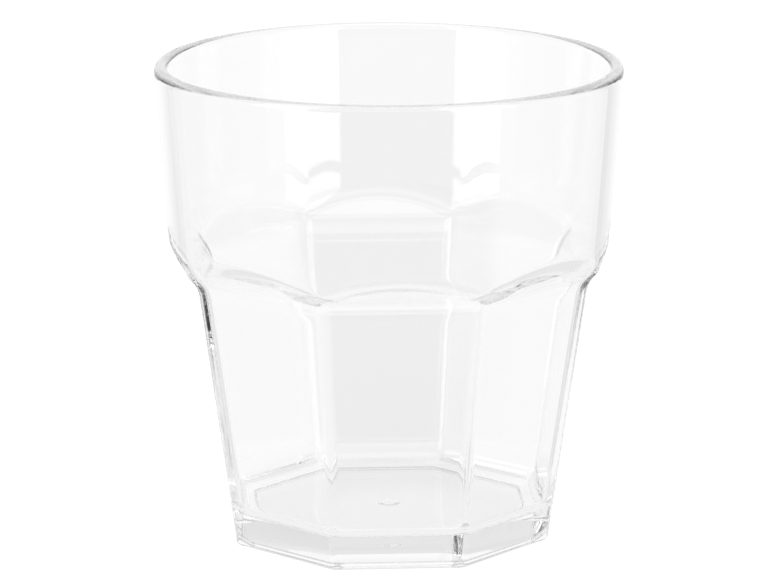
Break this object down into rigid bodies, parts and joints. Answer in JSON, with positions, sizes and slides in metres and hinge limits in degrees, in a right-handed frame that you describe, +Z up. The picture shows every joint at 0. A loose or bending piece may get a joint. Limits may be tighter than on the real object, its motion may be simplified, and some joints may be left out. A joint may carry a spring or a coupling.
{
  "type": "plastic tumbler cup",
  "caption": "Clear moulded drinking tumbler with a round upper band, arched shoulder and octagonal faceted body.",
  "frame": {"origin": "centre of the foot, on the table plane, on the axis of the tumbler", "axes": "+Z up along the axis to the open rim, with one flat facet facing -Y and one facing +X"},
  "size_m": [0.084, 0.084, 0.0862],
  "materials": {
    "clear_plastic": "polished clear moulded plastic"
  },
  "bodies": {
    "root": {"tumbler": "clear_plastic"}
  },
  "joints": []
}
